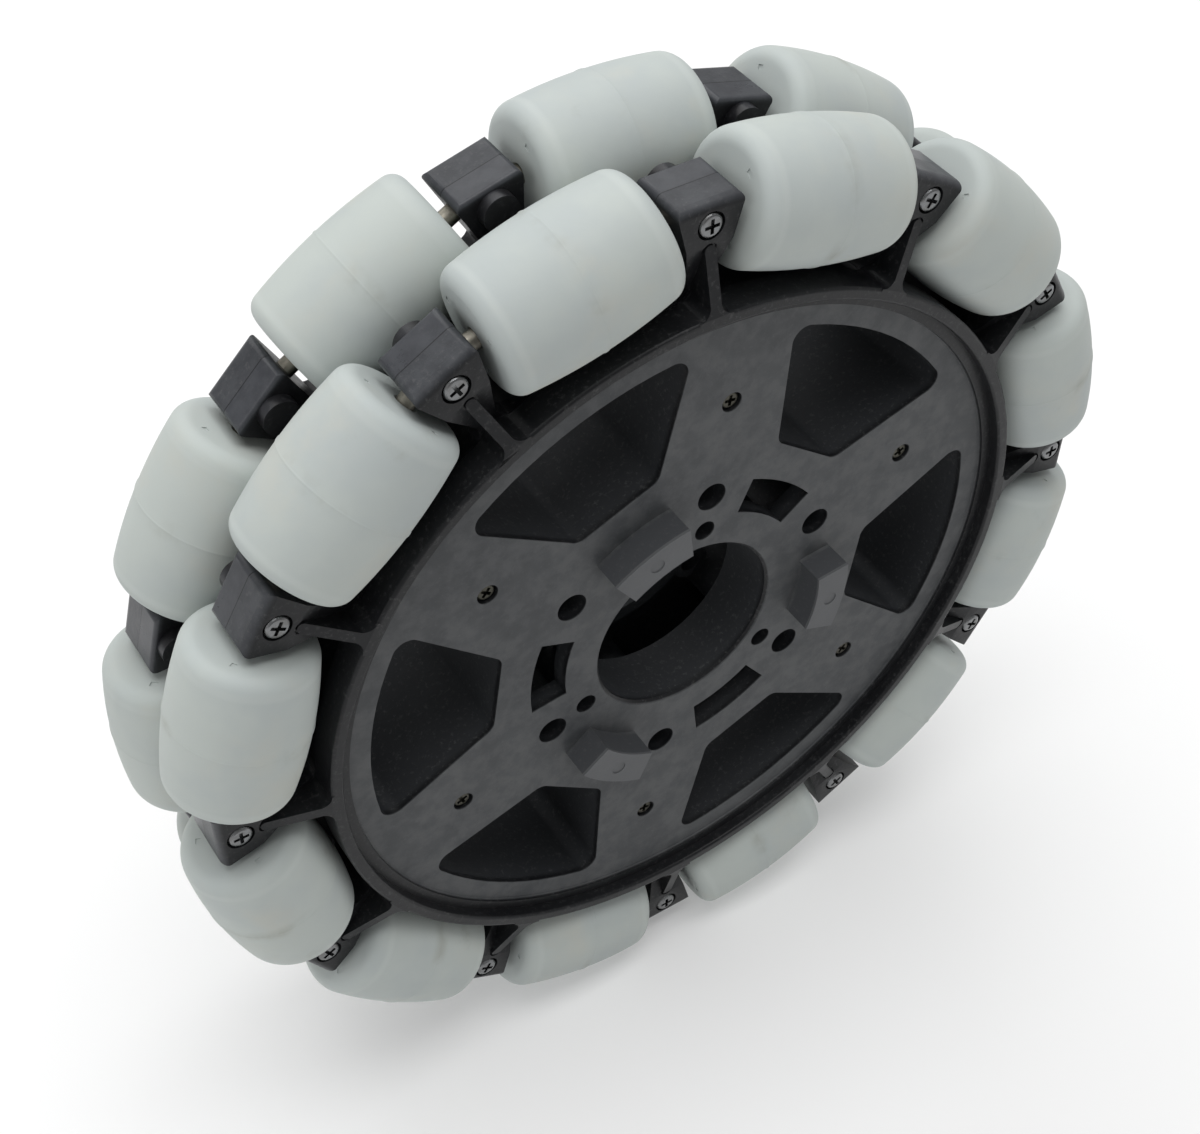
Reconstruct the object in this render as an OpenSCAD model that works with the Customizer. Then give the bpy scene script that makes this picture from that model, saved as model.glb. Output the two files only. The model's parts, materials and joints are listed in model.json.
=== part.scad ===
// Double-row omni wheel: two identical moulded hub halves, two retainer rings and
// two rows of barrel rollers on steel pins. The wheel turns about Y, the front face
// looks along -Y, +Z is up and the origin is the wheel's centre.

/* [Wheel] */
// Rolling diameter over the rollers
wheel_d = 152.4; // [140:0.1:165]
// Middle plane to the web face of one hub half
half_w = 14; // [13.6:0.1:16]
// Middle plane to the roller axles of one row
row_offset = 9.15; // [9:0.05:9.5]
// Angle from +X to a spoke of the hub
spoke_angle = 82.5; // [80:0.5:85]

/* [Rollers] */
// Largest diameter of a roller, at its middle
roller_d = 18.8; // [18:0.1:19]
// Radius on a roller's rim
roller_edge_r = 2.2; // [1:0.1:3]
// Gap between a roller's end and the arm beside it
roller_gap = 1.6; // [1.2:0.1:2]

/* [Axle pins] */
// Diameter of a pin
pin_d = 2.5; // [2:0.1:3]
// Length of a pin held in each arm
pin_grip = 2.2; // [1.6:0.1:2.3]
// Radial clearance of a roller on its pin
pin_clear = 0.05; // [0.02:0.01:0.09]
// Radial clearance of a pin in its seat
seat_clear = 0.02; // [0.01:0.01:0.04]

/* [Arms] */
// Width of an arm at the height of the axles; the rollers fill the room between two arms
arm_w = 7.12; // [6.6:0.02:8]
// Rolling circle down to the flat end of an arm
head_drop = 4.2; // [3.5:0.1:5]
// Radius on the side corners of an arm's head
head_corner_r = 1; // [0.4:0.1:1.2]
// Radius on the outer edge of an arm's head
head_edge_r = 1.3; // [0.6:0.1:1.6]
// Fillet where an arm grows from the rim
arm_fillet_r = 3; // [2:0.1:3.4]
// Depth of the hollow beside an arm's rib, at the rim
dish_depth = 2.6; // [1:0.1:3.4]
// Length of plate left flat below the arm screw's centre
dish_start = 2.8; // [2.6:0.1:4]
// Width of the rib on an arm
rib_w = 1.6; // [1:0.1:2]
// Fillet where the rib meets the lip
rib_fillet_r = 1.8; // [1:0.1:2.5]
// Width of the groove round the rib's end
rib_groove = 0.3; // [0.2:0.1:0.5]
// Depth of that groove
rib_groove_depth = 0.4; // [0.2:0.1:0.8]

/* [Retainers] */
// Thickness of a retainer's half of the arm head
clamp_t = 4.05; // [3.5:0.05:4.4]
// Radius on the inner edge of that half
clamp_edge_r = 0.6; // [0.4:0.1:1]
// Radial thickness of the retainer's ring
ring_t = 1.9; // [1.5:0.1:2.2]
// Width of the retainer's ring along the axle
ring_w = 3; // [2:0.1:3.4]
// Gap between the two retainers
ring_gap = 0.3; // [0.2:0.1:0.6]
// Radial clearance of the ring on the rim
ring_clear = 0.1; // [0.05:0.01:0.2]
// Diameter of the screw boss on a retainer's arm
boss_d = 5; // [4.4:0.1:5.4]
// Height of that boss above the arm's head
boss_h = 1.6; // [1.2:0.1:2.2]

/* [Rim] */
// Gap between a roller and the rim's wall
rim_gap = 1.2; // [1:0.1:1.8]
// Thickness of the rim's wall
rim_wall = 2.4; // [2:0.1:3]
// Height of the lip above the web
lip_h = 2.4; // [1.5:0.1:3.5]
// Width of the lip
lip_w = 1.9; // [1.4:0.1:2.4]
// Overhang of the lip past the rim's wall
lip_proud = 0.7; // [0.3:0.1:0.9]
// Width of the ledge inside the lip
ledge_w = 1.6; // [1:0.1:2.2]
// Height of the ledge above the web
ledge_h = 0.6; // [0.3:0.1:1]
// Radius between the web and the ledge
ledge_r = 1.2; // [0.8:0.1:1.6]
// Radius on the lip's edges
lip_edge_r = 0.5; // [0.2:0.1:0.65]

/* [Web] */
// Thickness of the web
web_t = 3; // [2:0.1:4]
// Rim's wall in to a window's outer edge
window_gap = 3.8; // [3.3:0.1:5.3]
// Distance from the axis to a window's straight inner edge
window_in = 30.8; // [30.2:0.1:33]
// Radius in a window's corners
window_corner_r = 2.2; // [1:0.1:3]
// Thickness of the wall round a window
window_wall = 2; // [1.5:0.1:2.2]
// Width of a spoke at its inner end
spoke_in_w = 19.3; // [18:0.1:20]
// Width of a spoke at its outer end
spoke_out_w = 15.8; // [14:0.1:17]

/* [Hub centre] */
// Diameter of the shaft bore
bore_d = 28.575; // [26:0.005:29]
// Length of the bore's wall in each half
bore_len = 9.75; // [8:0.05:11]
// Chamfer on the bore's mouth
bore_chamfer = 0.5; // [0.2:0.1:1]
// Thickness of the bore's wall
bore_wall = 2.2; // [1.8:0.1:2.5]
// Diameter of the circle of six bolt holes
bolt_circle_d = 47.625; // [47:0.005:48.5]
// Diameter of a bolt hole
bolt_hole_d = 4.5; // [4:0.1:5]
// Wall of the tube round a bolt hole
bolt_wall = 2; // [1.5:0.1:2.2]
// Diameter of the circle of three small holes
pilot_circle_d = 35.66; // [35.4:0.01:36]
// Diameter of a small hole
pilot_hole_d = 3.2; // [2.8:0.1:3.4]
// Wall of the boss round a small hole
pilot_wall = 1.4; // [1:0.1:1.6]
// Inner radius of a key slot
slot_in_r = 19.9; // [19.7:0.1:20.4]
// Outer radius of a key slot
slot_out_r = 25.5; // [25:0.1:26]
// Half the angle that a key slot spans
slot_half_angle = 14.6; // [12:0.1:15.5]
// Height of a drive key above the web
key_h = 4.8; // [3:0.1:6]
// Clearance of a key in a slot, on each side
key_clear = 0.2; // [0.1:0.05:0.4]
// Wall of a hollow key
key_wall = 1.5; // [1.2:0.1:1.8]
// Diameter of the round mark that a mould pin leaves on a key
mark_d = 2.2; // [1.5:0.1:3]
// Depth of that mark
mark_depth = 0.15; // [0.1:0.05:0.3]

/* [Screws] */
// Axle circle out to the arm screws
arm_screw_out = 2.06; // [1.8:0.01:2.2]
// Diameter of an arm screw's head
arm_head_d = 3.4; // [3:0.1:3.6]
// Height of an arm screw's head
arm_head_h = 1.1; // [0.8:0.1:1.3]
// Clearance round an arm screw's head
arm_head_clear = 0.25; // [0.1:0.05:0.3]
// Depth of the arm screw's counterbore
arm_sink = 0.9; // [0.5:0.1:1.2]
// Radius of the circle of six hub screws
hub_screw_r = 39.74; // [38:0.01:41]
// Diameter of a hub screw's head
hub_head_d = 2.7; // [2.4:0.1:3.2]
// Clearance round a hub screw's head
hub_head_clear = 0.2; // [0.1:0.05:0.4]
// Depth of the hub screw's recess
hub_sink = 1.2; // [1:0.1:1.6]
// Height of a hub screw's head
hub_head_h = 0.8; // [0.5:0.1:0.9]
// Wall of the boss round a hub screw
hub_screw_wall = 1.6; // [1.2:0.1:2.4]
// Diameter of a screw's shank
shank_d = 1.9; // [1.6:0.1:2]
// Radial clearance of a shank in its hole
shank_clear = 0.08; // [0.04:0.01:0.12]
// Material left below an arm screw's tip
tip_floor = 1; // [0.6:0.1:1.4]
// Width of the cross cut in a screw's head, as a share of the head
cross_share = 0.62; // [0.5:0.01:0.75]
// Width of one arm of that cross
cross_w = 0.5; // [0.35:0.05:0.7]

/* [Hidden] */
$fn = 96;
eps = 0.5; // run-out of a cut past the face it opens
swell = 1.005; // a corner's circle grows by this, so that it crosses the sides it rounds
dip = 0.98; // a fillet's circle stands this share of its radius off the walls it joins

rollers_per_row = 12;
spokes = 6;
keys = 3;
row_step = 360 / rollers_per_row;
spoke_step = 360 / spokes;
key_step = 360 / keys;

arm_angle = spoke_angle + row_step / 4;
roller_angle = arm_angle + row_step / 2;
window_angle = spoke_angle - spoke_step / 2;
slot_angle = window_angle;
key_angle = slot_angle + key_step / 2;

wheel_r = wheel_d / 2;
roller_r = roller_d / 2;
axle_r = wheel_r - roller_r;
arm_lean = row_step / 2; // an arm's sides lean to face the rollers' flat ends
// Roller's middle to the arm's side face
arm_side = (axle_r * tan(arm_lean) - arm_w / 2) * cos(arm_lean);
roller_len = 2 * (arm_side - roller_gap);
head_r = wheel_r - head_drop;
pin_half = arm_side + pin_grip;

rim_r = wheel_r - roller_d - rim_gap;
lip_r = rim_r + lip_proud;
lip_in = lip_r - lip_w;
ledge_in = lip_in - ledge_w;
lip_z = half_w + lip_h;
ledge_z = half_w + ledge_h;
web_z = half_w - web_t;
ring_in = rim_r + ring_clear;
ring_out = ring_in + ring_t;
ring_z = ring_gap / 2;
clamp_z = row_offset - clamp_t;
boss_z = clamp_z - boss_h;

bore_r = bore_d / 2;
bore_z = half_w - bore_len;
bolt_r = bolt_circle_d / 2;
pilot_r = pilot_circle_d / 2;
key_z = half_w + key_h;
arm_screw_r = axle_r + arm_screw_out;
arm_seat_z = half_w - arm_sink;
arm_tip_z = boss_z + tip_floor;
hub_seat_z = half_w - hub_sink;
shank_hole_r = shank_d / 2 + shank_clear;
dish_r = arm_screw_r - dish_start;
window_out_r = rim_r - rim_wall - window_gap;

// A spoke's edge, seen from the middle of the window beside it
spoke_taper = atan((spoke_in_w - spoke_out_w) / 2 / (window_out_r - window_in));
edge_lean = spoke_step / 2 + spoke_taper;
edge_off = -(window_in * sin(spoke_taper) + spoke_in_w / 2 * cos(spoke_taper));

front_roller_names = [for (k = [1:rollers_per_row]) str("front_roller_", k)];
rear_roller_names = [for (k = [1:rollers_per_row]) str("rear_roller_", k)];

// Point at distance c along the normal of a line that leans from +Y, and t along it
function line_point(lean, c, t) =
    [c * cos(lean) + t * sin(lean), t * cos(lean) - c * sin(lean)];
// How far along that line a point lies that is r from the origin
function reach_r(c, r) = sqrt(r * r - c * c);
// How far along that line a point lies that is at height y
function reach_y(lean, c, y) = (y + c * sin(lean)) / cos(lean);
function flip_x(p) = [-p[0], p[1]];
function both_sides(pts) =
    concat(pts, [for (i = [len(pts) - 1:-1:0]) flip_x(pts[i])]);
function arc_points(centre, r, from, to, steps) =
    [for (i = [0:steps]) centre + r * [cos(from + (to - from) * i / steps),
                                       sin(from + (to - from) * i / steps)]];

module ring_of(count, first, step) {
    for (k = [0:count - 1]) rotate([0, 0, first + k * step]) children();
}

// Stand a half wheel up: its outward face looks along -Y
module front_row() { rotate([90, 0, 0]) children(); }

// The rear half is the same half turned over about a spoke
module rear_row() {
    rotate([90, 0, 0]) rotate([0, 0, 2 * spoke_angle - 180]) rotate([0, 180, 0]) children();
}

// ---- outlines, each drawn about +Y ----

module window_outline(grow) {
    c = edge_off - window_corner_r;
    outer = line_point(edge_lean, c, reach_r(c, window_out_r - window_corner_r));
    inner = line_point(edge_lean, c, reach_y(edge_lean, c, window_in + window_corner_r));
    r = window_corner_r + grow;
    side = line_point(edge_lean, r, 0);
    for (p = both_sides([outer, inner])) translate(p) circle(r * swell);
    polygon(both_sides([inner - [0, r], inner + side, outer + side, outer]));
    intersection() {
        circle(window_out_r + grow);
        polygon(both_sides([outer, 2 * outer]));
    }
}

module arc_slot(inner_r, outer_r, half_angle) {
    far = 2 * outer_r;
    intersection() {
        difference() {
            circle(outer_r);
            circle(inner_r);
        }
        polygon([[0, 0], [-far * sin(half_angle), far * cos(half_angle)],
                 [far * sin(half_angle), far * cos(half_angle)]]);
    }
}

// Fillets that spread a strip's sides into the round wall that it grows from
module root_fillets(lean, c, wall_r, wall_t, fillet_r) {
    stand = fillet_r * dip;
    centre = line_point(lean, c + stand, reach_r(c + stand, wall_r + stand));
    foot = centre * (wall_r - wall_t / 2) / (wall_r + stand);
    difference() {
        polygon(both_sides([foot, centre, centre - line_point(lean, 1.1 * fillet_r, 0)]));
        for (p = both_sides([centre])) translate(p) circle(fillet_r);
    }
}

// Arm seen from the front, from the radius given out to its flat end
module arm_outline(from_r) {
    c = -arm_side;
    corner = line_point(arm_lean, c - head_corner_r,
                        reach_y(arm_lean, c - head_corner_r, head_r - head_corner_r));
    side = line_point(arm_lean, head_corner_r, 0);
    foot = line_point(arm_lean, c, reach_y(arm_lean, c, from_r));
    polygon(both_sides([foot, corner + side, corner + [0, head_corner_r]]));
    for (p = both_sides([corner])) translate(p) circle(head_corner_r * swell);
}

// Solid made from an outline in the (radius, height) plane, across the arm
module across_arm(width) {
    rotate([90, 0, 90]) linear_extrude(width, center = true) children();
}

module drill(r, radius, from_z, to_z) {
    translate([0, radius, from_z]) cylinder(h = to_z - from_z, r = r);
}

// Seats for the two pins whose ends an arm holds
module pin_seats() {
    for (side = [-1, 1])
        rotate([0, 0, side * row_step / 2])
            translate([0, axle_r, row_offset]) rotate([0, side * 90, 0])
                translate([0, 0, arm_side - roller_gap])
                    cylinder(h = pin_half + seat_clear - arm_side + roller_gap,
                             r = pin_d / 2 + seat_clear);
}

// ---- hub half ----

module rim() {
    rotate_extrude()
        polygon(concat(
            [[rim_r - rim_wall, 0], [rim_r, 0], [rim_r, web_z], [lip_r, web_z + lip_proud]],
            arc_points([lip_r - lip_edge_r, lip_z - lip_edge_r], lip_edge_r, 0, 90, 3),
            arc_points([lip_in + lip_edge_r, lip_z - lip_edge_r], lip_edge_r, 90, 180, 3),
            [[lip_in, ledge_z], [ledge_in, ledge_z]],
            arc_points([ledge_in - ledge_r, ledge_z], ledge_r, 0, -atan(ledge_h / ledge_r) * 1.5, 3),
            [[ledge_in - ledge_r, half_w], [ledge_in - ledge_r, web_z],
             [rim_r - rim_wall, web_z]]));
}

module web_section() {
    difference() {
        circle(ledge_in);
        ring_of(spokes, window_angle - 90, spoke_step) window_outline(0);
        ring_of(keys, slot_angle - 90, key_step)
            arc_slot(slot_in_r, slot_out_r, slot_half_angle);
        circle(bore_r);
    }
}

// Everything that stands on the back of the web and reaches the middle plane
module wall_section() {
    ring_of(spokes, window_angle - 90, spoke_step)
        difference() {
            window_outline(window_wall);
            window_outline(0);
        }
    ring_of(spokes, spoke_angle - 90, spoke_step) {
        translate([0, bolt_r]) circle(bolt_hole_d / 2 + bolt_wall);
        translate([0, hub_screw_r]) circle(hub_head_d / 2 + hub_screw_wall);
    }
}

module bore_section() {
    difference() {
        union() {
            circle(bore_r + bore_wall);
            ring_of(keys, spoke_angle - 90, key_step)
                translate([0, pilot_r]) circle(pilot_hole_d / 2 + pilot_wall);
        }
        circle(bore_r);
    }
}

module key_block(inset, from_z, to_z) {
    angle_inset = atan(inset / slot_in_r);
    translate([0, 0, from_z])
        linear_extrude(to_z - from_z)
            arc_slot(slot_in_r + inset, slot_out_r - inset, slot_half_angle - angle_inset);
}

// Round-ended strip from the lip out to the end of the rib
module rib_strip(grow) {
    end_r = dish_r - rib_w / 2;
    translate([-rib_w / 2 - grow, lip_in]) square([rib_w + 2 * grow, end_r - lip_in]);
    translate([0, end_r]) circle((rib_w / 2 + grow) * swell);
}

// Outer half of an arm, with its rib
module hub_arm() {
    plate_z = half_w - dish_depth;
    difference() {
        intersection() {
            linear_extrude(lip_z) {
                arm_outline(rim_r - rim_wall / 2);
                root_fillets(arm_lean, -arm_side, rim_r, rim_wall, arm_fillet_r);
            }
            across_arm(wheel_r)
                polygon(concat(
                    [[rim_r - rim_wall / 2, row_offset], [head_r, row_offset]],
                    arc_points([head_r - head_edge_r, half_w - head_edge_r], head_edge_r, 0, 90, 6),
                    [[dish_r, half_w], [rim_r + arm_fillet_r / 2, plate_z],
                     [rim_r - rim_wall / 2, plate_z]]));
        }
        translate([0, 0, half_w - rib_groove_depth]) linear_extrude(lip_h) rib_strip(rib_groove);
    }
    intersection() {
        linear_extrude(lip_z) {
            rib_strip(0);
            root_fillets(0, rib_w / 2, lip_r, lip_w, rib_fillet_r);
        }
        across_arm(wheel_r)
            polygon([[lip_in + lip_w / 2, row_offset], [dish_r, row_offset], [dish_r, half_w],
                     [lip_r, lip_z], [lip_in + lip_w / 2, lip_z]]);
    }
}

module hub_half() {
    difference() {
        union() {
            rim();
            translate([0, 0, web_z]) linear_extrude(web_t) web_section();
            linear_extrude(web_z + web_t / 2) wall_section();
            translate([0, 0, bore_z]) linear_extrude(bore_len) bore_section();
            ring_of(keys, key_angle - 90, key_step) key_block(key_clear, web_z, key_z);
            ring_of(rollers_per_row, arm_angle - 90, row_step) hub_arm();
        }
        ring_of(keys, key_angle - 90, key_step)
            key_block(key_clear + key_wall, web_z - eps, key_z - key_wall);
        ring_of(keys, key_angle - 90, key_step)
            drill(mark_d / 2, (slot_in_r + slot_out_r) / 2, key_z - mark_depth, key_z + eps);
        translate([0, 0, half_w - bore_chamfer])
            cylinder(h = bore_chamfer + eps, r1 = bore_r, r2 = bore_r + bore_chamfer + eps);
        ring_of(spokes, spoke_angle - 90, spoke_step) {
            drill(bolt_hole_d / 2, bolt_r, -eps, half_w + eps);
            drill(shank_hole_r, hub_screw_r, -eps, half_w);
            drill(hub_head_d / 2 + hub_head_clear, hub_screw_r, hub_seat_z, half_w + eps);
        }
        ring_of(keys, spoke_angle - 90, key_step)
            drill(pilot_hole_d / 2, pilot_r, bore_z - eps, half_w + eps);
        ring_of(rollers_per_row, arm_angle - 90, row_step) {
            drill(arm_head_d / 2 + arm_head_clear, arm_screw_r, arm_seat_z, half_w + eps);
            drill(shank_hole_r, arm_screw_r, row_offset - eps, arm_seat_z + eps);
            pin_seats();
        }
    }
}

// ---- retainer: the ring between the rows whose arms close the rollers' pin seats ----

module retainer_arm() {
    foot_r = ring_in + ring_t / 2;
    intersection() {
        linear_extrude(row_offset) arm_outline(foot_r);
        across_arm(wheel_r)
            polygon(concat(
                [[foot_r, row_offset], [foot_r, ring_z], [ring_out + arm_fillet_r / 2, ring_z],
                 [ring_out + arm_fillet_r / 2 + clamp_z, clamp_z]],
                arc_points([head_r - clamp_edge_r, clamp_z + clamp_edge_r], clamp_edge_r, -90, 0, 6),
                [[head_r, row_offset]]));
    }
    translate([0, 0, ring_z]) linear_extrude(ring_w)
        root_fillets(arm_lean, -arm_side, ring_out, ring_t, arm_fillet_r);
    drill(boss_d / 2, arm_screw_r, boss_z, row_offset);
}

module retainer() {
    difference() {
        union() {
            translate([0, 0, ring_z]) linear_extrude(ring_w) difference() {
                circle(ring_out);
                circle(ring_in);
            }
            ring_of(rollers_per_row, arm_angle - 90, row_step) retainer_arm();
        }
        ring_of(rollers_per_row, arm_angle - 90, row_step) {
            drill(shank_hole_r, arm_screw_r, arm_tip_z - shank_clear, row_offset + eps);
            pin_seats();
        }
    }
}

// ---- rollers and pins ----

// Profile of a roller: the rolling circle gives its barrel
function barrel_r(s) = sqrt(wheel_r * wheel_r - s * s) - axle_r;
function roller_profile() =
    let (half = roller_len / 2, flank = half - roller_edge_r, rim = barrel_r(flank),
         hole = pin_d / 2 + pin_clear)
    concat(
        [[hole, -half]],
        arc_points([rim - roller_edge_r, -flank], roller_edge_r, -90, 0, 5),
        [for (i = [1:9]) [barrel_r(flank * (i / 5 - 1)), flank * (i / 5 - 1)]],
        arc_points([rim - roller_edge_r, flank], roller_edge_r, 0, 90, 5),
        [[hole, half]]);

// Lay a turned piece on the tangential axle of roller k
module on_axle(k) {
    rotate([0, 0, roller_angle - 90 + k * row_step])
        translate([0, axle_r, row_offset]) rotate([0, 90, 0]) children();
}

module roller(k) { on_axle(k) rotate_extrude() polygon(roller_profile()); }

module pin(k) { on_axle(k) cylinder(h = 2 * pin_half, r = pin_d / 2, center = true); }

// ---- screws ----

module pan_screw(head_r, head_h, length) {
    difference() {
        rotate_extrude()
            polygon(concat(
                [[0, -length], [shank_d / 2, -length], [shank_d / 2, 0], [head_r, 0]],
                arc_points([head_r - head_h / 2, head_h / 2], head_h / 2, 0, 90, 4),
                [[0, head_h]]));
        for (turn = [0, 90]) rotate([0, 0, turn])
            translate([-head_r * cross_share, -cross_w / 2, head_h / 3])
                cube([2 * head_r * cross_share, cross_w, head_h]);
    }
}

module arm_screws() {
    ring_of(rollers_per_row, arm_angle - 90, row_step)
        translate([0, arm_screw_r, arm_seat_z])
            pan_screw(arm_head_d / 2, arm_head_h, arm_seat_z - arm_tip_z);
}

module hub_screws_in_place() {
    ring_of(spokes, spoke_angle - 90, spoke_step)
        translate([0, hub_screw_r, hub_seat_z])
            pan_screw(hub_head_d / 2, hub_head_h, 2 * hub_seat_z + hub_head_h);
}

// ---- nodes ----

module front_hub() { color([0.13, 0.13, 0.14]) front_row() hub_half(); }
module rear_hub() { color([0.13, 0.13, 0.14]) rear_row() hub_half(); }
module front_retainer() { color([0.10, 0.10, 0.11]) front_row() retainer(); }
module rear_retainer() { color([0.10, 0.10, 0.11]) rear_row() retainer(); }
module front_pins() {
    color([0.60, 0.59, 0.55]) front_row() for (k = [0:rollers_per_row - 1]) pin(k);
}
module rear_pins() {
    color([0.60, 0.59, 0.55]) rear_row() for (k = [0:rollers_per_row - 1]) pin(k);
}
module front_arm_screws() { color([0.55, 0.56, 0.58]) front_row() arm_screws(); }
module rear_arm_screws() { color([0.55, 0.56, 0.58]) rear_row() arm_screws(); }
module hub_screws() { color([0.40, 0.39, 0.33]) front_row() hub_screws_in_place(); }
module front_roller(k) { color([0.76, 0.79, 0.78]) front_row() roller(k); }
module rear_roller(k) { color([0.74, 0.77, 0.77]) rear_row() roller(k); }

front_hub();
rear_hub();
front_retainer();
rear_retainer();
front_pins();
rear_pins();
front_arm_screws();
rear_arm_screws();
hub_screws();
for (k = [0:rollers_per_row - 1]) {
    front_roller(k);
    rear_roller(k);
}
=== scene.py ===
import bpy
import json
import math
import random
from mathutils import Matrix, Vector


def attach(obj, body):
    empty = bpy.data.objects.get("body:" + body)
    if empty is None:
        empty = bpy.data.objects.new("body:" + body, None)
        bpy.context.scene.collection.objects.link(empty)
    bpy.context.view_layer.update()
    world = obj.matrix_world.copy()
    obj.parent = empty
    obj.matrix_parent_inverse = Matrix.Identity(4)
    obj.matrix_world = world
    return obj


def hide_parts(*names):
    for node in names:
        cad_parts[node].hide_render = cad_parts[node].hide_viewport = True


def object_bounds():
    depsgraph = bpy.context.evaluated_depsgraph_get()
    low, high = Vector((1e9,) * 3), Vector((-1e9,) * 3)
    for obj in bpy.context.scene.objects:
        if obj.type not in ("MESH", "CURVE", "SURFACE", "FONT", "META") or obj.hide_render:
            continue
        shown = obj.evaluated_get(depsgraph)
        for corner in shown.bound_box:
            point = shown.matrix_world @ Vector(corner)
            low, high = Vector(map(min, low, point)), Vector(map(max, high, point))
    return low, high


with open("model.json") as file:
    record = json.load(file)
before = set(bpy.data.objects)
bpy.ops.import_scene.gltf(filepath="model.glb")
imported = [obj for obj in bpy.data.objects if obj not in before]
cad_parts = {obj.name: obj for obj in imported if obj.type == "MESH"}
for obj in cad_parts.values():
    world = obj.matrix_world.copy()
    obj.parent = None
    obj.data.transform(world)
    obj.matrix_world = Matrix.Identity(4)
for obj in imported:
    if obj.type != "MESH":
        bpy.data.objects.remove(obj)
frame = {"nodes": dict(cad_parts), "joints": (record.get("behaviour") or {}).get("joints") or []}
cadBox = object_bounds()
nodes = frame["nodes"]
print("frame loaded:", len(nodes), "nodes")

mm = 0.001

# shader maths


class Sock:
    # one output of a node, so that sums can be written as sums
    def __init__(self, finish, out):
        self.finish = finish
        self.out = out

    def maths(self, operation, a, b=0.0):
        return self.finish.add("ShaderNodeMath", {"operation": operation}, {0: a, 1: b})

    def __add__(self, other):
        return self.maths("ADD", self, other)

    __radd__ = __add__

    def __sub__(self, other):
        return self.maths("SUBTRACT", self, other)

    def __rsub__(self, other):
        return self.maths("SUBTRACT", other, self)

    def __mul__(self, other):
        return self.maths("MULTIPLY", self, other)

    __rmul__ = __mul__

    def size(self):
        return self.maths("ABSOLUTE", self)

    def least(self, most):
        return self.maths("MINIMUM", self, most)

    def root(self):
        return self.maths("SQRT", self)


class Finish:
    # a material being put together round one Principled shader
    def __init__(self, name, constants):
        self.mat = bpy.data.materials.new(name)
        self.mat.use_nodes = True
        self.tree = self.mat.node_tree
        self.shader = self.tree.nodes["Principled BSDF"]
        for key, value in constants.items():
            self.shader.inputs[key].default_value = value
        self.place = self.add("ShaderNodeTexCoord", out="Object")

    def add(self, kind, settings=None, values=None, out=0):
        node = self.tree.nodes.new(kind)
        for key, value in (settings or {}).items():
            setattr(node, key, value)
        for key, value in (values or {}).items():
            self.feed(node.inputs[key], value)
        return Sock(self, node.outputs[out])

    def feed(self, socket, value):
        if isinstance(value, Sock):
            self.tree.links.new(value.out, socket)
        else:
            socket.default_value = value

    def drive(self, name, value):
        self.feed(self.shader.inputs[name], value)

    def moved(self, shift):
        return self.add("ShaderNodeMapping", {}, {"Vector": self.place, "Location": shift})

    def noise(self, scale, detail, rough, shift=(0, 0, 0)):
        return self.add("ShaderNodeTexNoise", {}, {
            "Vector": self.moved(shift), "Scale": scale, "Detail": detail, "Roughness": rough})

    def cells(self, scale):
        return self.add("ShaderNodeTexVoronoi", {}, {
            "Vector": self.moved((0, 0, 0)), "Scale": scale})

    def axis(self, letter):
        return self.add("ShaderNodeSeparateXYZ", {}, {0: self.place}, out=letter)

    def stored(self, name):
        return self.add("ShaderNodeAttribute", {"attribute_name": name}, {}, out="Fac")

    def distanceFrom(self, letters):
        # how far out a point lies, measured along these axes
        a, b = (self.axis(letter) for letter in letters)
        return (a * a + b * b).root()

    def between(self, value, start, end):
        # 0 before start, 1 past end, smooth in between; start may be the higher one
        return self.add("ShaderNodeMapRange", {"interpolation_type": "SMOOTHSTEP"},
                        {"Value": value, "From Min": start, "From Max": end})

    def blend(self, share, colourA, colourB):
        return self.add("ShaderNodeMix", {"data_type": "RGBA"},
                        {0: share, 6: colourA, 7: colourB}, out=2)

    def bump(self, height, strength, distance):
        normal = self.add("ShaderNodeBump", {}, {
            "Height": height, "Strength": strength, "Distance": distance})
        self.drive("Normal", normal)


def paint(piece, mat):
    piece.data.materials.clear()
    piece.data.materials.append(mat)


# finishes

# where the tones of a moulding change, each as start and end: From, To and Below are measured
# up from the plane between the halves, Within and Beyond are measured out from the wheel's axis
nylonPlaces = {
    "webFrom": (13.75 * mm, 13.95 * mm), "webTo": (14.35 * mm, 14.1 * mm),
    "webWithin": (56.5 * mm, 55.5 * mm),
    "keysWithin": (38 * mm, 36 * mm),
    "keySideFrom": (14.3 * mm, 14.7 * mm), "keyTopFrom": (18.35 * mm, 18.45 * mm),
    "insideBelow": (13.7 * mm, 12.5 * mm), "insideWithin": (52 * mm, 51 * mm),
    "headsBeyond": (70.9 * mm, 71.9 * mm),
    "seamHeight": 9.15 * mm, "seamWidth": (0.11 * mm, 0.04 * mm),
}
nylonMarks = {
    "cloud": {"scale": 95, "detail": 5, "rough": 0.6}, "cloudSpan": (0.32, 0.7),
    "patches": {"scale": 330, "detail": 4, "rough": 0.62, "shift": (1, 8, 4)},
    "webSpan": (0.35, 0.68), "webClouds": 0.5, "webPatches": 0.5,
    # patches in the painted sheen on the arms' ends, and the ends' gloss
    "headSpan": (0.3, 0.7), "headGloss": 0.04,
    # patches in the painted highlight along the edges
    "edgeShineSpan": (0.35, 0.62), "edgeShineLeast": 0.25, "edgeShinePatches": 0.75,
    "grain": {"scale": 1500, "detail": 4, "rough": 0.7, "shift": (3, 1, 2)},
    "grainSpan": (0.52, 0.75),
    "fleckScale": 2600, "fleckSpan": (0.08, 0.02), "fleckShare": 0.6,
    "seamShare": 0.85,
    "glossClouds": 0.1, "glossGrain": 0.12,
    "ripple": {"scale": 420, "detail": 3, "rough": 0.5},
    "pitGrain": 0.5, "pitRipple": 0.3, "pitPatches": 0.5, "pitDepth": 0.1 * mm,
}


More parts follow.
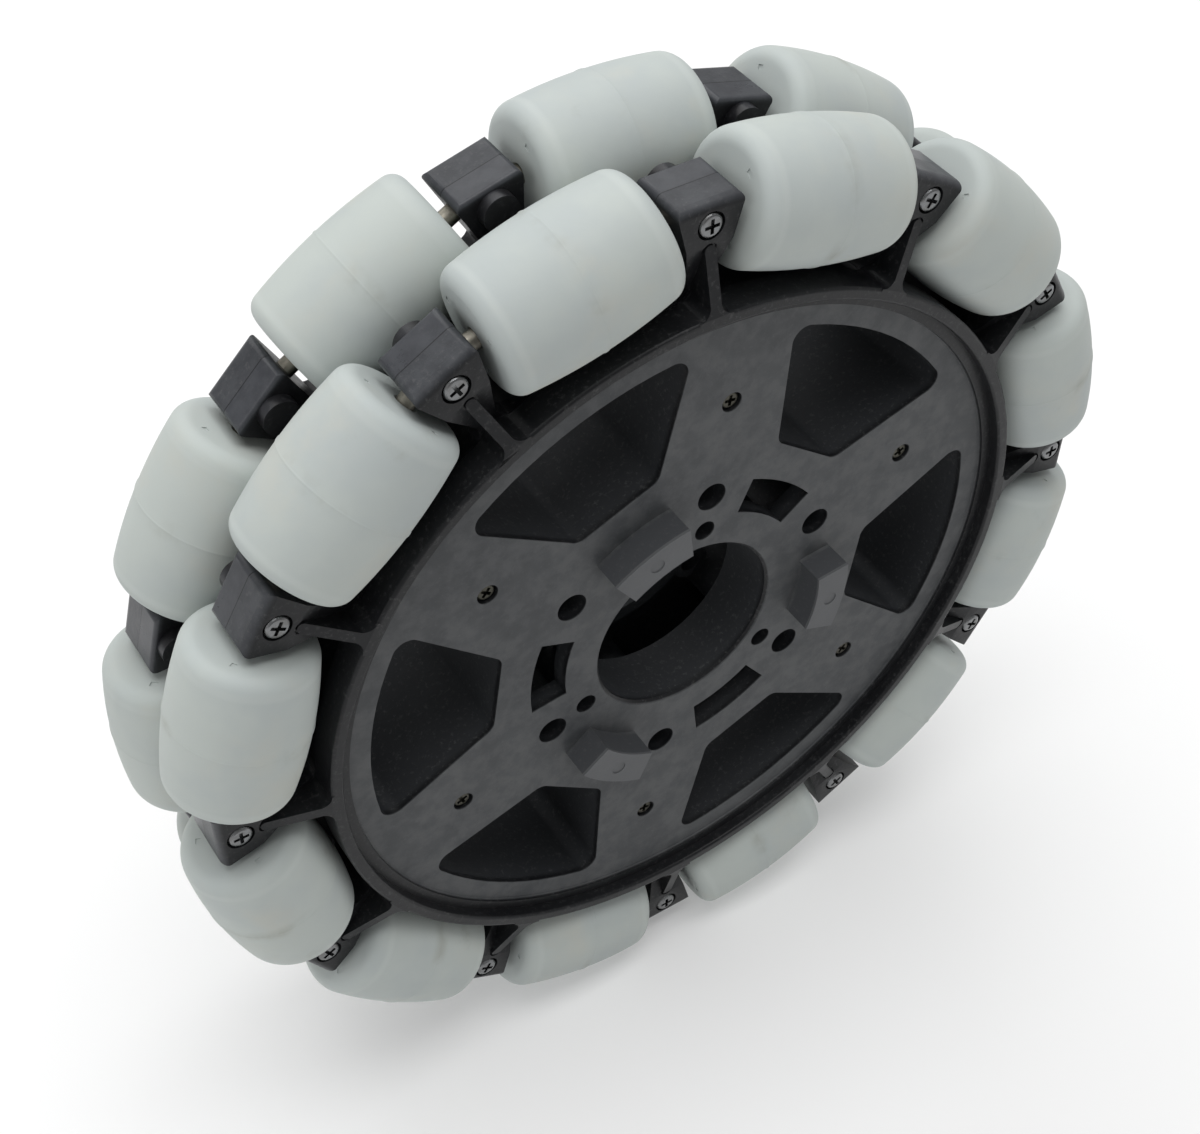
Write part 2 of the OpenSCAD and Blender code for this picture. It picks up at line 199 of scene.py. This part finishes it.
def makeNylon(name, look):
    # glass-filled nylon: black and fairly glossy, with a painted sheen on the arms' ends and a
    # painted highlight along the edges
    places, marks = nylonPlaces, nylonMarks
    nylon = Finish(name, {"Specular IOR Level": look["shine"]})
    up = nylon.axis("Y").size()
    out = nylon.distanceFrom(("X", "Z"))
    cloud = nylon.between(nylon.noise(**marks["cloud"]), *marks["cloudSpan"])
    patches = nylon.noise(**marks["patches"])
    grain = nylon.noise(**marks["grain"])
    inside = (nylon.between(up, *places["insideBelow"])
              * nylon.between(out, *places["insideWithin"]))
    heads = nylon.between(out, *places["headsBeyond"])
    tone = nylon.blend(cloud, look["dark"], look["pale"])
    tone = nylon.blend(inside, tone, look["deep"])
    gloss = look["gloss"] - heads * marks["headGloss"] + inside * look["deepMatt"]
    if "webSheenDark" in look:
        # the web's face is painted paler as a painted sheen, over the nylon's own cloudy mottle,
        # and so are the keys that stand on it
        keys = nylon.between(out, *places["keysWithin"])
        face = (nylon.between(up, *places["webTo"]) + keys).least(1)
        web = (nylon.between(up, *places["webFrom"]) * face
               * nylon.between(out, *places["webWithin"]))
        mottle = (cloud * marks["webClouds"]
                  + nylon.between(patches, *marks["webSpan"]) * marks["webPatches"])
        tone = nylon.blend(web, tone, nylon.blend(mottle, look["webSheenDark"], look["webSheenPale"]))
        # the keys' tops are painted paler as a painted highlight, their sides darker as painted
        # shade
        keySideShade = nylon.between(up, *places["keySideFrom"]) * keys
        keyTopLight = nylon.between(up, *places["keyTopFrom"]) * keys
        tone = nylon.blend(keySideShade, tone, look["keySideShade"])
        tone = nylon.blend(keyTopLight, tone, look["keyTopLight"])
        gloss = gloss + web * (look["webGloss"] - look["gloss"])
    # painted sheen: the arms' outer ends painted paler, varied in random patches
    sheenPatches = nylon.between(patches, *marks["headSpan"])
    tone = nylon.blend(heads, tone, nylon.blend(sheenPatches, look["headSheenDark"], look["headSheenPale"]))
    # a painted highlight along the bevelled edges, stronger in random patches
    edgeShine = nylon.between(patches, *marks["edgeShineSpan"]) * marks["edgeShinePatches"] + marks["edgeShineLeast"]
    edgeShine = nylon.stored("edgeShineFaces") * edgeShine * look["edgeShineShare"]
    tone = nylon.blend(edgeShine, tone, look["edge"])
    speckle = nylon.between(grain, *marks["grainSpan"]) * look["speckle"]
    tone = nylon.blend(speckle, tone, look["fleck"])
    flecks = nylon.between(nylon.cells(marks["fleckScale"]), *marks["fleckSpan"])
    tone = nylon.blend(flecks * look["speckle"] * marks["fleckShare"], tone, look["fleck"])
    # a thin dark line where the two halves of an arm's head meet
    seam = nylon.between((up - places["seamHeight"]).size(), *places["seamWidth"]) * heads
    tone = nylon.blend(seam * marks["seamShare"], tone, look["dark"])
    nylon.drive("Base Color", tone)
    gloss = gloss + (cloud - 0.5) * marks["glossClouds"] + (grain - 0.5) * marks["glossGrain"]
    nylon.drive("Roughness", gloss)
    pits = (grain * marks["pitGrain"] + nylon.noise(**marks["ripple"]) * marks["pitRipple"]
            + patches * marks["pitPatches"])
    nylon.bump(pits, look["pitting"], marks["pitDepth"])
    return nylon.mat


rubberLook = {
    "shine": 0.35, "gloss": 0.5, "glossVaries": 0.2, "rippling": 0.12, "rippleDepth": 0.1 * mm,
    "base": (0.452, 0.489, 0.467, 1), "cool": (0.415, 0.452, 0.446, 1),
    "warm": (0.470, 0.482, 0.440, 1), "warmShare": 0.7,
    "stain": (0.29, 0.29, 0.25, 1), "smudgeShare": 0.5,
    "ring": (0.50, 0.537, 0.518, 1), "ringShare": 0.35,
    "shadeShare": 0.4, "grimeShare": 0.45,
}
# From, To and Within are places along a roller: 0 at its middle, 1 at its ends
rubberMarks = {
    "cool": {"scale": 45, "detail": 4, "rough": 0.6}, "coolSpan": (0.4, 0.65),
    "warm": {"scale": 70, "detail": 5, "rough": 0.6, "shift": (5, 2, 7)},
    "warmSpan": (0.5, 0.72),
    "smudge": {"scale": 60, "detail": 6, "rough": 0.65, "shift": (9, 4, 1)},
    "smudgeSpan": (0.62, 0.78),
    "grime": {"scale": 110, "detail": 4, "rough": 0.6, "shift": (2, 6, 3)},
    "grimeSpan": (0.5, 0.7), "grimeWithin": (0.16, 0.0),
    "ringFrom": (0.76, 0.82), "ringTo": (0.90, 0.84), "shadeFrom": (0.86, 0.99),
    "gloss": {"scale": 160, "detail": 4, "rough": 0.6},
    "ripple": {"scale": 900, "detail": 3, "rough": 0.5},
}


def makeRubber(name, look):
    # pale grey moulded rubber with cloudy stains and a few scuffs
    marks = rubberMarks
    rubber = Finish(name, {"Specular IOR Level": look["shine"]})
    cool = rubber.between(rubber.noise(**marks["cool"]), *marks["coolSpan"])
    tone = rubber.blend(cool, look["base"], look["cool"])
    warm = rubber.between(rubber.noise(**marks["warm"]), *marks["warmSpan"])
    tone = rubber.blend(warm * look["warmShare"], tone, look["warm"])
    smudge = rubber.between(rubber.noise(**marks["smudge"]), *marks["smudgeSpan"])
    tone = rubber.blend(smudge * look["smudgeShare"], tone, look["stain"])
    # a paler ring on each shoulder, painted shade darkening the ends, and grime held by the
    # parting ridge
    toEnd = rubber.stored("toEnd")
    ring = rubber.between(toEnd, *marks["ringFrom"]) * rubber.between(toEnd, *marks["ringTo"])
    tone = rubber.blend(ring * look["ringShare"], tone, look["ring"])
    shade = rubber.between(toEnd, *marks["shadeFrom"])
    tone = rubber.blend(shade * look["shadeShare"], tone, look["cool"])
    grime = rubber.between(rubber.noise(**marks["grime"]), *marks["grimeSpan"])
    grime = rubber.between(toEnd, *marks["grimeWithin"]) * grime
    tone = rubber.blend(grime * look["grimeShare"], tone, look["stain"])
    rubber.drive("Base Color", tone)
    rubber.drive("Roughness", look["gloss"] + rubber.noise(**marks["gloss"]) * look["glossVaries"])
    rubber.bump(rubber.noise(**marks["ripple"]), look["rippling"], look["rippleDepth"])
    return rubber.mat


steelLook = {
    "pins": {"colour": (0.34, 0.32, 0.27, 1), "gloss": 0.38},
    "armScrews": {"colour": (0.20, 0.205, 0.21, 1), "gloss": 0.24},
    "hubScrews": {"colour": (0.07, 0.068, 0.055, 1), "gloss": 0.45},
    "grime": {"scale": 700, "detail": 4, "rough": 0.6}, "grimeSpan": (0.4, 0.7),
    "grimeColour": (0.12, 0.11, 0.10, 1), "grimeShare": 0.4, "grimeMatt": 0.15,
    "scratches": {"scale": 1800, "detail": 2, "rough": 0.5},
    "scratching": 0.1, "scratchDepth": 0.05 * mm,
}


def makeSteel(name, colour, gloss):
    # bright or browned steel with grime in patches
    look = steelLook
    steel = Finish(name, {"Metallic": 1.0})
    grime = steel.between(steel.noise(**look["grime"]), *look["grimeSpan"])
    tone = steel.blend(grime * look["grimeShare"], colour, look["grimeColour"])
    steel.drive("Base Color", tone)
    steel.drive("Roughness", gloss + grime * look["grimeMatt"])
    steel.bump(steel.noise(**look["scratches"]), look["scratching"], look["scratchDepth"])
    return steel.mat


hubLook = {
    "dark": (0.0070, 0.0074, 0.0086, 1), "pale": (0.0110, 0.0116, 0.0130, 1),
    "deep": (0.022, 0.024, 0.027, 1), "deepMatt": 0.3,
    # the web's face, painted paler as a painted sheen, with its own cloudy mottle between the two
    # tones
    "webSheenDark": (0.048, 0.051, 0.055, 1), "webSheenPale": (0.096, 0.099, 0.102, 1),
    # the keys' tops painted paler as a painted highlight, their sides darker as painted shade
    "keyTopLight": (0.105, 0.108, 0.113, 1), "keySideShade": (0.058, 0.061, 0.066, 1),
    # the arms' outer ends, painted paler as a painted sheen
    "headSheenDark": (0.036, 0.038, 0.043, 1), "headSheenPale": (0.054, 0.057, 0.063, 1),
    "fleck": (0.13, 0.13, 0.13, 1), "speckle": 0.30,
    # a painted highlight along the bevelled edges, and its share
    "edge": (0.155, 0.160, 0.166, 1), "edgeShineShare": 0.55,
    "gloss": 0.40, "webGloss": 0.55, "shine": 0.24, "pitting": 0.55,
}
retainerLook = {
    "dark": (0.0065, 0.0065, 0.0078, 1), "pale": (0.012, 0.012, 0.0135, 1),
    "deep": (0.012, 0.012, 0.0135, 1), "deepMatt": 0.0,
    # the arms' outer ends, painted paler as a painted sheen
    "headSheenDark": (0.034, 0.036, 0.042, 1), "headSheenPale": (0.050, 0.053, 0.060, 1),
    "fleck": (0.09, 0.09, 0.095, 1), "speckle": 0.22,
    # a painted highlight along the bevelled edges, and its share
    "edge": (0.13, 0.134, 0.14, 1), "edgeShineShare": 0.5,
    "gloss": 0.36, "shine": 0.3, "pitting": 0.2,
}
hubNylon = makeNylon("hubNylon", hubLook)
retainerNylon = makeNylon("retainerNylon", retainerLook)
rollerRubber = makeRubber("rollerRubber", rubberLook)
pinSteel = makeSteel("pinSteel", **steelLook["pins"])
screwSteel = makeSteel("screwSteel", **steelLook["armScrews"])
hubScrewSteel = makeSteel("hubScrewSteel", **steelLook["hubScrews"])
print("finishes ready")

for name, piece in nodes.items():
    if "hub_screws" in name:
        paint(piece, hubScrewSteel)
    elif "screws" in name:
        paint(piece, screwSteel)
    elif "pins" in name:
        paint(piece, pinSteel)

# shaping

copyLook = {"merge": 0.002 * mm, "flat": 1.0}


def pickOnly(piece):
    bpy.ops.object.select_all(action="DESELECT")
    piece.select_set(True)
    bpy.context.view_layer.objects.active = piece


def applyModifier(piece, name, kind, settings):
    pickOnly(piece)
    modifier = piece.modifiers.new(name, kind)
    for key, value in settings.items():
        setattr(modifier, key, value)
    bpy.ops.object.modifier_apply(modifier=name)


def smoothFaces(piece, angle):
    # smooth across gentle steps, with the flats kept flat in the shading
    pickOnly(piece)
    bpy.ops.object.shade_smooth_by_angle(angle=math.radians(angle))
    applyModifier(piece, "even", "WEIGHTED_NORMAL", {"keep_sharp": True})


def takeCopy(node, name):
    # a CAD node's mesh as whole faces, free to edit
    piece = bpy.data.objects.new(name, nodes[node].data.copy())
    bpy.context.scene.collection.objects.link(piece)
    pickOnly(piece)
    bpy.ops.mesh.customdata_custom_splitnormals_clear()
    bpy.ops.object.mode_set(mode="EDIT")
    bpy.ops.mesh.select_all(action="SELECT")
    bpy.ops.mesh.remove_doubles(threshold=copyLook["merge"])
    bpy.ops.mesh.dissolve_limited(angle_limit=math.radians(copyLook["flat"]), delimit=set())
    bpy.ops.object.mode_set(mode="OBJECT")
    return piece


def oneMaterial(piece):
    # every face back on the first material
    faces = piece.data.polygons
    faces.foreach_set("material_index", [0] * len(faces))


def markEdges(piece):
    # the bevel gave its faces the second material; they are remembered, for a painted highlight
    # along the edges
    onEdge = [face.material_index for face in piece.data.polygons]
    edgeShineFaces = piece.data.attributes.new("edgeShineFaces", "FLOAT", "FACE")
    edgeShineFaces.data.foreach_set("value", onEdge)
    oneMaterial(piece)
    print(piece.name, "has", sum(onEdge), "edge faces of", len(onEdge))


def dress(node, look, mat):
    # the moulding with its sharp edges broken, in place of the CAD node
    piece = takeCopy(node, node + "_moulding")
    paint(piece, mat)
    piece.data.materials.append(mat)
    oneMaterial(piece)
    applyModifier(piece, "edges", "BEVEL", {
        "width": look["edge"], "segments": look["steps"], "limit_method": "ANGLE",
        "material": 1, "angle_limit": math.radians(look["sharp"]), "miter_outer": "MITER_ARC"})
    markEdges(piece)
    smoothFaces(piece, look["smooth"])
    paint(piece, mat)
    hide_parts(node)
    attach(piece, "wheel")
    return piece


hubEdge = {"edge": 0.4 * mm, "steps": 3, "sharp": 32, "smooth": 35}
retainerEdge = {"edge": 0.35 * mm, "steps": 3, "sharp": 32, "smooth": 35}
for row in ("front", "rear"):
    dress(row + "_hub", hubEdge, hubNylon)
    dress(row + "_retainer", retainerEdge, retainerNylon)
print("mouldings dressed")

# rollers

rollerLook = {
    "halfLength": 12.25 * mm, "crownRadius": 76.2 * mm, "axisToHub": 66.8 * mm,
    "edgeRadius": 2.2 * mm, "edgeSteps": 9, "crownSteps": 8,
    "bore": 1.3 * mm, "boreEdge": 0.25 * mm,
    "ridgeHalf": 0.3 * mm, "ridgeTop": 0.1 * mm, "ridgeHeight": 0.09 * mm,
    "turns": 120, "smooth": 40,
    "dimpleOut": 5.55 * mm, "dimpleRadius": 0.6 * mm, "dimpleHalf": 0.55 * mm,
    "dimpleEdge": 0.2 * mm, "dimpleDepth": 0.14 * mm, "dimpleTurns": (0.6, 2.7, 4.8),
}


def crownAt(along):
    # the barrel follows the wheel's own rolling circle
    return math.sqrt(rollerLook["crownRadius"] ** 2 - along ** 2) - rollerLook["axisToHub"]


def rollerHalf(look):
    # half of the section, from the bore's end out and round to the parting line: (along, out)
    half, edge = look["halfLength"], look["edgeRadius"]
    lean = math.asin((half - edge) / look["crownRadius"])
    start = half - edge + edge * math.sin(lean)
    centre = (half - edge, crownAt(start) - edge * math.cos(lean))
    points = [(half - look["boreEdge"], look["bore"]), (half, look["bore"] + look["boreEdge"]),
              (half, look["dimpleOut"] - look["dimpleHalf"]),
              (half, look["dimpleOut"] + look["dimpleHalf"])]
    for step in range(look["edgeSteps"] + 1):
        turn = (math.pi / 2 - lean) * step / look["edgeSteps"]
        points.append((centre[0] + edge * math.cos(turn), centre[1] + edge * math.sin(turn)))
    for step in range(1, look["crownSteps"]):
        along = start + (look["ridgeHalf"] - start) * step / look["crownSteps"]
        points.append((along, crownAt(along)))
    points.append((look["ridgeHalf"], crownAt(look["ridgeHalf"])))
    points.append((look["ridgeTop"], crownAt(0) + look["ridgeHeight"]))
    return points


def spinSolid(name, outline, turns):
    # a closed outline in the XZ plane, spun round X
    bpy.ops.object.select_all(action="DESELECT")
    bpy.ops.mesh.primitive_plane_add(size=mm, location=(0, 0, 0))
    piece = bpy.context.object
    piece.name = name
    bpy.ops.object.mode_set(mode="EDIT")
    bpy.ops.mesh.select_all(action="SELECT")
    bpy.ops.mesh.merge(type="CENTER")
    bpy.ops.transform.translate(value=(outline[0][0], 0, outline[0][1]))
    for (alongA, outA), (alongB, outB) in zip(outline, outline[1:] + outline[:1]):
        bpy.ops.mesh.extrude_region_move(
            TRANSFORM_OT_translate={"value": (alongB - alongA, 0, outB - outA)})
    bpy.ops.mesh.select_all(action="SELECT")
    bpy.ops.mesh.spin(steps=turns, angle=2 * math.pi, center=(0, 0, 0), axis=(1, 0, 0))
    bpy.ops.mesh.select_all(action="SELECT")
    bpy.ops.mesh.remove_doubles(threshold=copyLook["merge"])
    bpy.ops.mesh.normals_make_consistent(inside=False)
    bpy.ops.object.mode_set(mode="OBJECT")
    return piece


def pressDimples(piece, look):
    # small moulding dimples in both end faces
    for end in (-1, 1):
        for turn in look["dimpleTurns"]:
            bpy.ops.object.mode_set(mode="OBJECT")
            for part in (piece.data.vertices, piece.data.edges, piece.data.polygons):
                part.foreach_set("select", [False] * len(part))
            at = Vector((end * look["halfLength"], look["dimpleOut"] * math.cos(turn),
                         look["dimpleOut"] * math.sin(turn)))
            for face in piece.data.polygons:
                onEnd = face.normal.x * end > 0.99
                face.select = onEnd and (face.center - at).length < look["dimpleRadius"]
            bpy.ops.object.mode_set(mode="EDIT")
            bpy.ops.mesh.select_mode(type="FACE")
            bpy.ops.mesh.inset(thickness=look["dimpleEdge"])
            bpy.ops.mesh.extrude_region_move(
                TRANSFORM_OT_translate={"value": (-end * look["dimpleDepth"], 0, 0)})
    bpy.ops.object.mode_set(mode="OBJECT")


def markEnds(piece, look):
    # how far each point lies from the middle towards the ends, 0 to 1
    toEnd = piece.data.attributes.new("toEnd", "FLOAT", "POINT")
    toEnd.data.foreach_set(
        "value", [abs(v.co.x) / look["halfLength"] for v in piece.data.vertices])


half = rollerHalf(rollerLook)
section = half + [(-along, out) for along, out in reversed(half)]
master = spinSolid("rollerMaster", section, rollerLook["turns"])
pressDimples(master, rollerLook)
smoothFaces(master, rollerLook["smooth"])
markEnds(master, rollerLook)
paint(master, rollerRubber)
chance = random.Random(7)
jointOf = {joint["child"]: joint for joint in frame["joints"]}
for node in sorted(nodes):
    if "roller" not in node:
        continue
    body = node + "_body"
    joint = jointOf[body]
    axis = Vector(joint["axis"]).normalized()
    place = (Matrix.Translation(Vector(joint["pos_m"]))
             @ axis.to_track_quat("X", "Z").to_matrix().to_4x4()
             @ Matrix.Rotation(chance.uniform(0, 2 * math.pi), 4, "X"))
    pickOnly(master)
    bpy.ops.object.duplicate(linked=False)
    piece = bpy.context.object
    piece.name = node + "_rubber"
    piece.matrix_world = place
    bpy.ops.object.transform_apply(location=True, rotation=True, scale=True)
    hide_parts(node)
    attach(piece, body)
pickOnly(master)
bpy.ops.object.delete()
print("rollers placed")

# floor, light and camera

stageLook = {
    "floorSize": 14.0, "floorColour": (0.68, 0.68, 0.68, 1), "floorMatt": 0.9,
    "white": (1, 1, 1, 1), "floorGlow": 0.22, "sky": 0.37,
}
bpy.ops.mesh.primitive_plane_add(size=stageLook["floorSize"], location=(0, 0, cadBox[0].z))
floor = bpy.context.object
floor.name = "floor"
floorFinish = Finish("floorPaper", {
    "Base Color": stageLook["floorColour"], "Roughness": stageLook["floorMatt"],
    "Emission Color": stageLook["white"], "Emission Strength": stageLook["floorGlow"]})
paint(floor, floorFinish.mat)

world = bpy.data.worlds.new("studio")
bpy.context.scene.world = world
world.use_nodes = True
sky = world.node_tree.nodes["Background"].inputs
sky["Color"].default_value = stageLook["white"]
sky["Strength"].default_value = stageLook["sky"]

softboxSize = (1.0, 0.8)
softboxes = {
    "softboxAbove": {"place": (0.0, -0.05, 1.1), "power": 9},
    "softboxLeft": {"place": (-0.95, 0.1, 0.5), "power": 2.5},
    "softboxRight": {"place": (0.95, 0.1, 0.5), "power": 0.8},
    "softboxBehind": {"place": (0.1, 0.75, 0.75), "power": 4},
}
for name, look in softboxes.items():
    # each one is turned to face the wheel's middle
    bpy.ops.object.light_add(type="AREA", location=look["place"])
    lamp = bpy.context.object
    lamp.name = name
    lamp.data.shape = "RECTANGLE"
    lamp.data.size, lamp.data.size_y = softboxSize
    lamp.data.energy = look["power"]
    aim = Vector((0, 0, 0)) - Vector(look["place"])
    lamp.rotation_euler = aim.to_track_quat("-Z", "Y").to_euler()

cameraLook = {
    "place": (-0.112014, -0.160548, 0.202624), "turn": (43.92098, -0.79019, -32.79627),
    "filmWidth": 36, "lens": 58.0, "nearest": 0.01,
}
bpy.ops.object.camera_add(location=cameraLook["place"],
                          rotation=[math.radians(angle) for angle in cameraLook["turn"]])
camera = bpy.context.object
camera.data.sensor_fit = "HORIZONTAL"
camera.data.sensor_width = cameraLook["filmWidth"]
camera.data.lens = cameraLook["lens"]
camera.data.clip_start = cameraLook["nearest"]
bpy.context.scene.camera = camera
bpy.context.scene.view_settings.view_transform = "Standard"
print("stage, light and camera set")
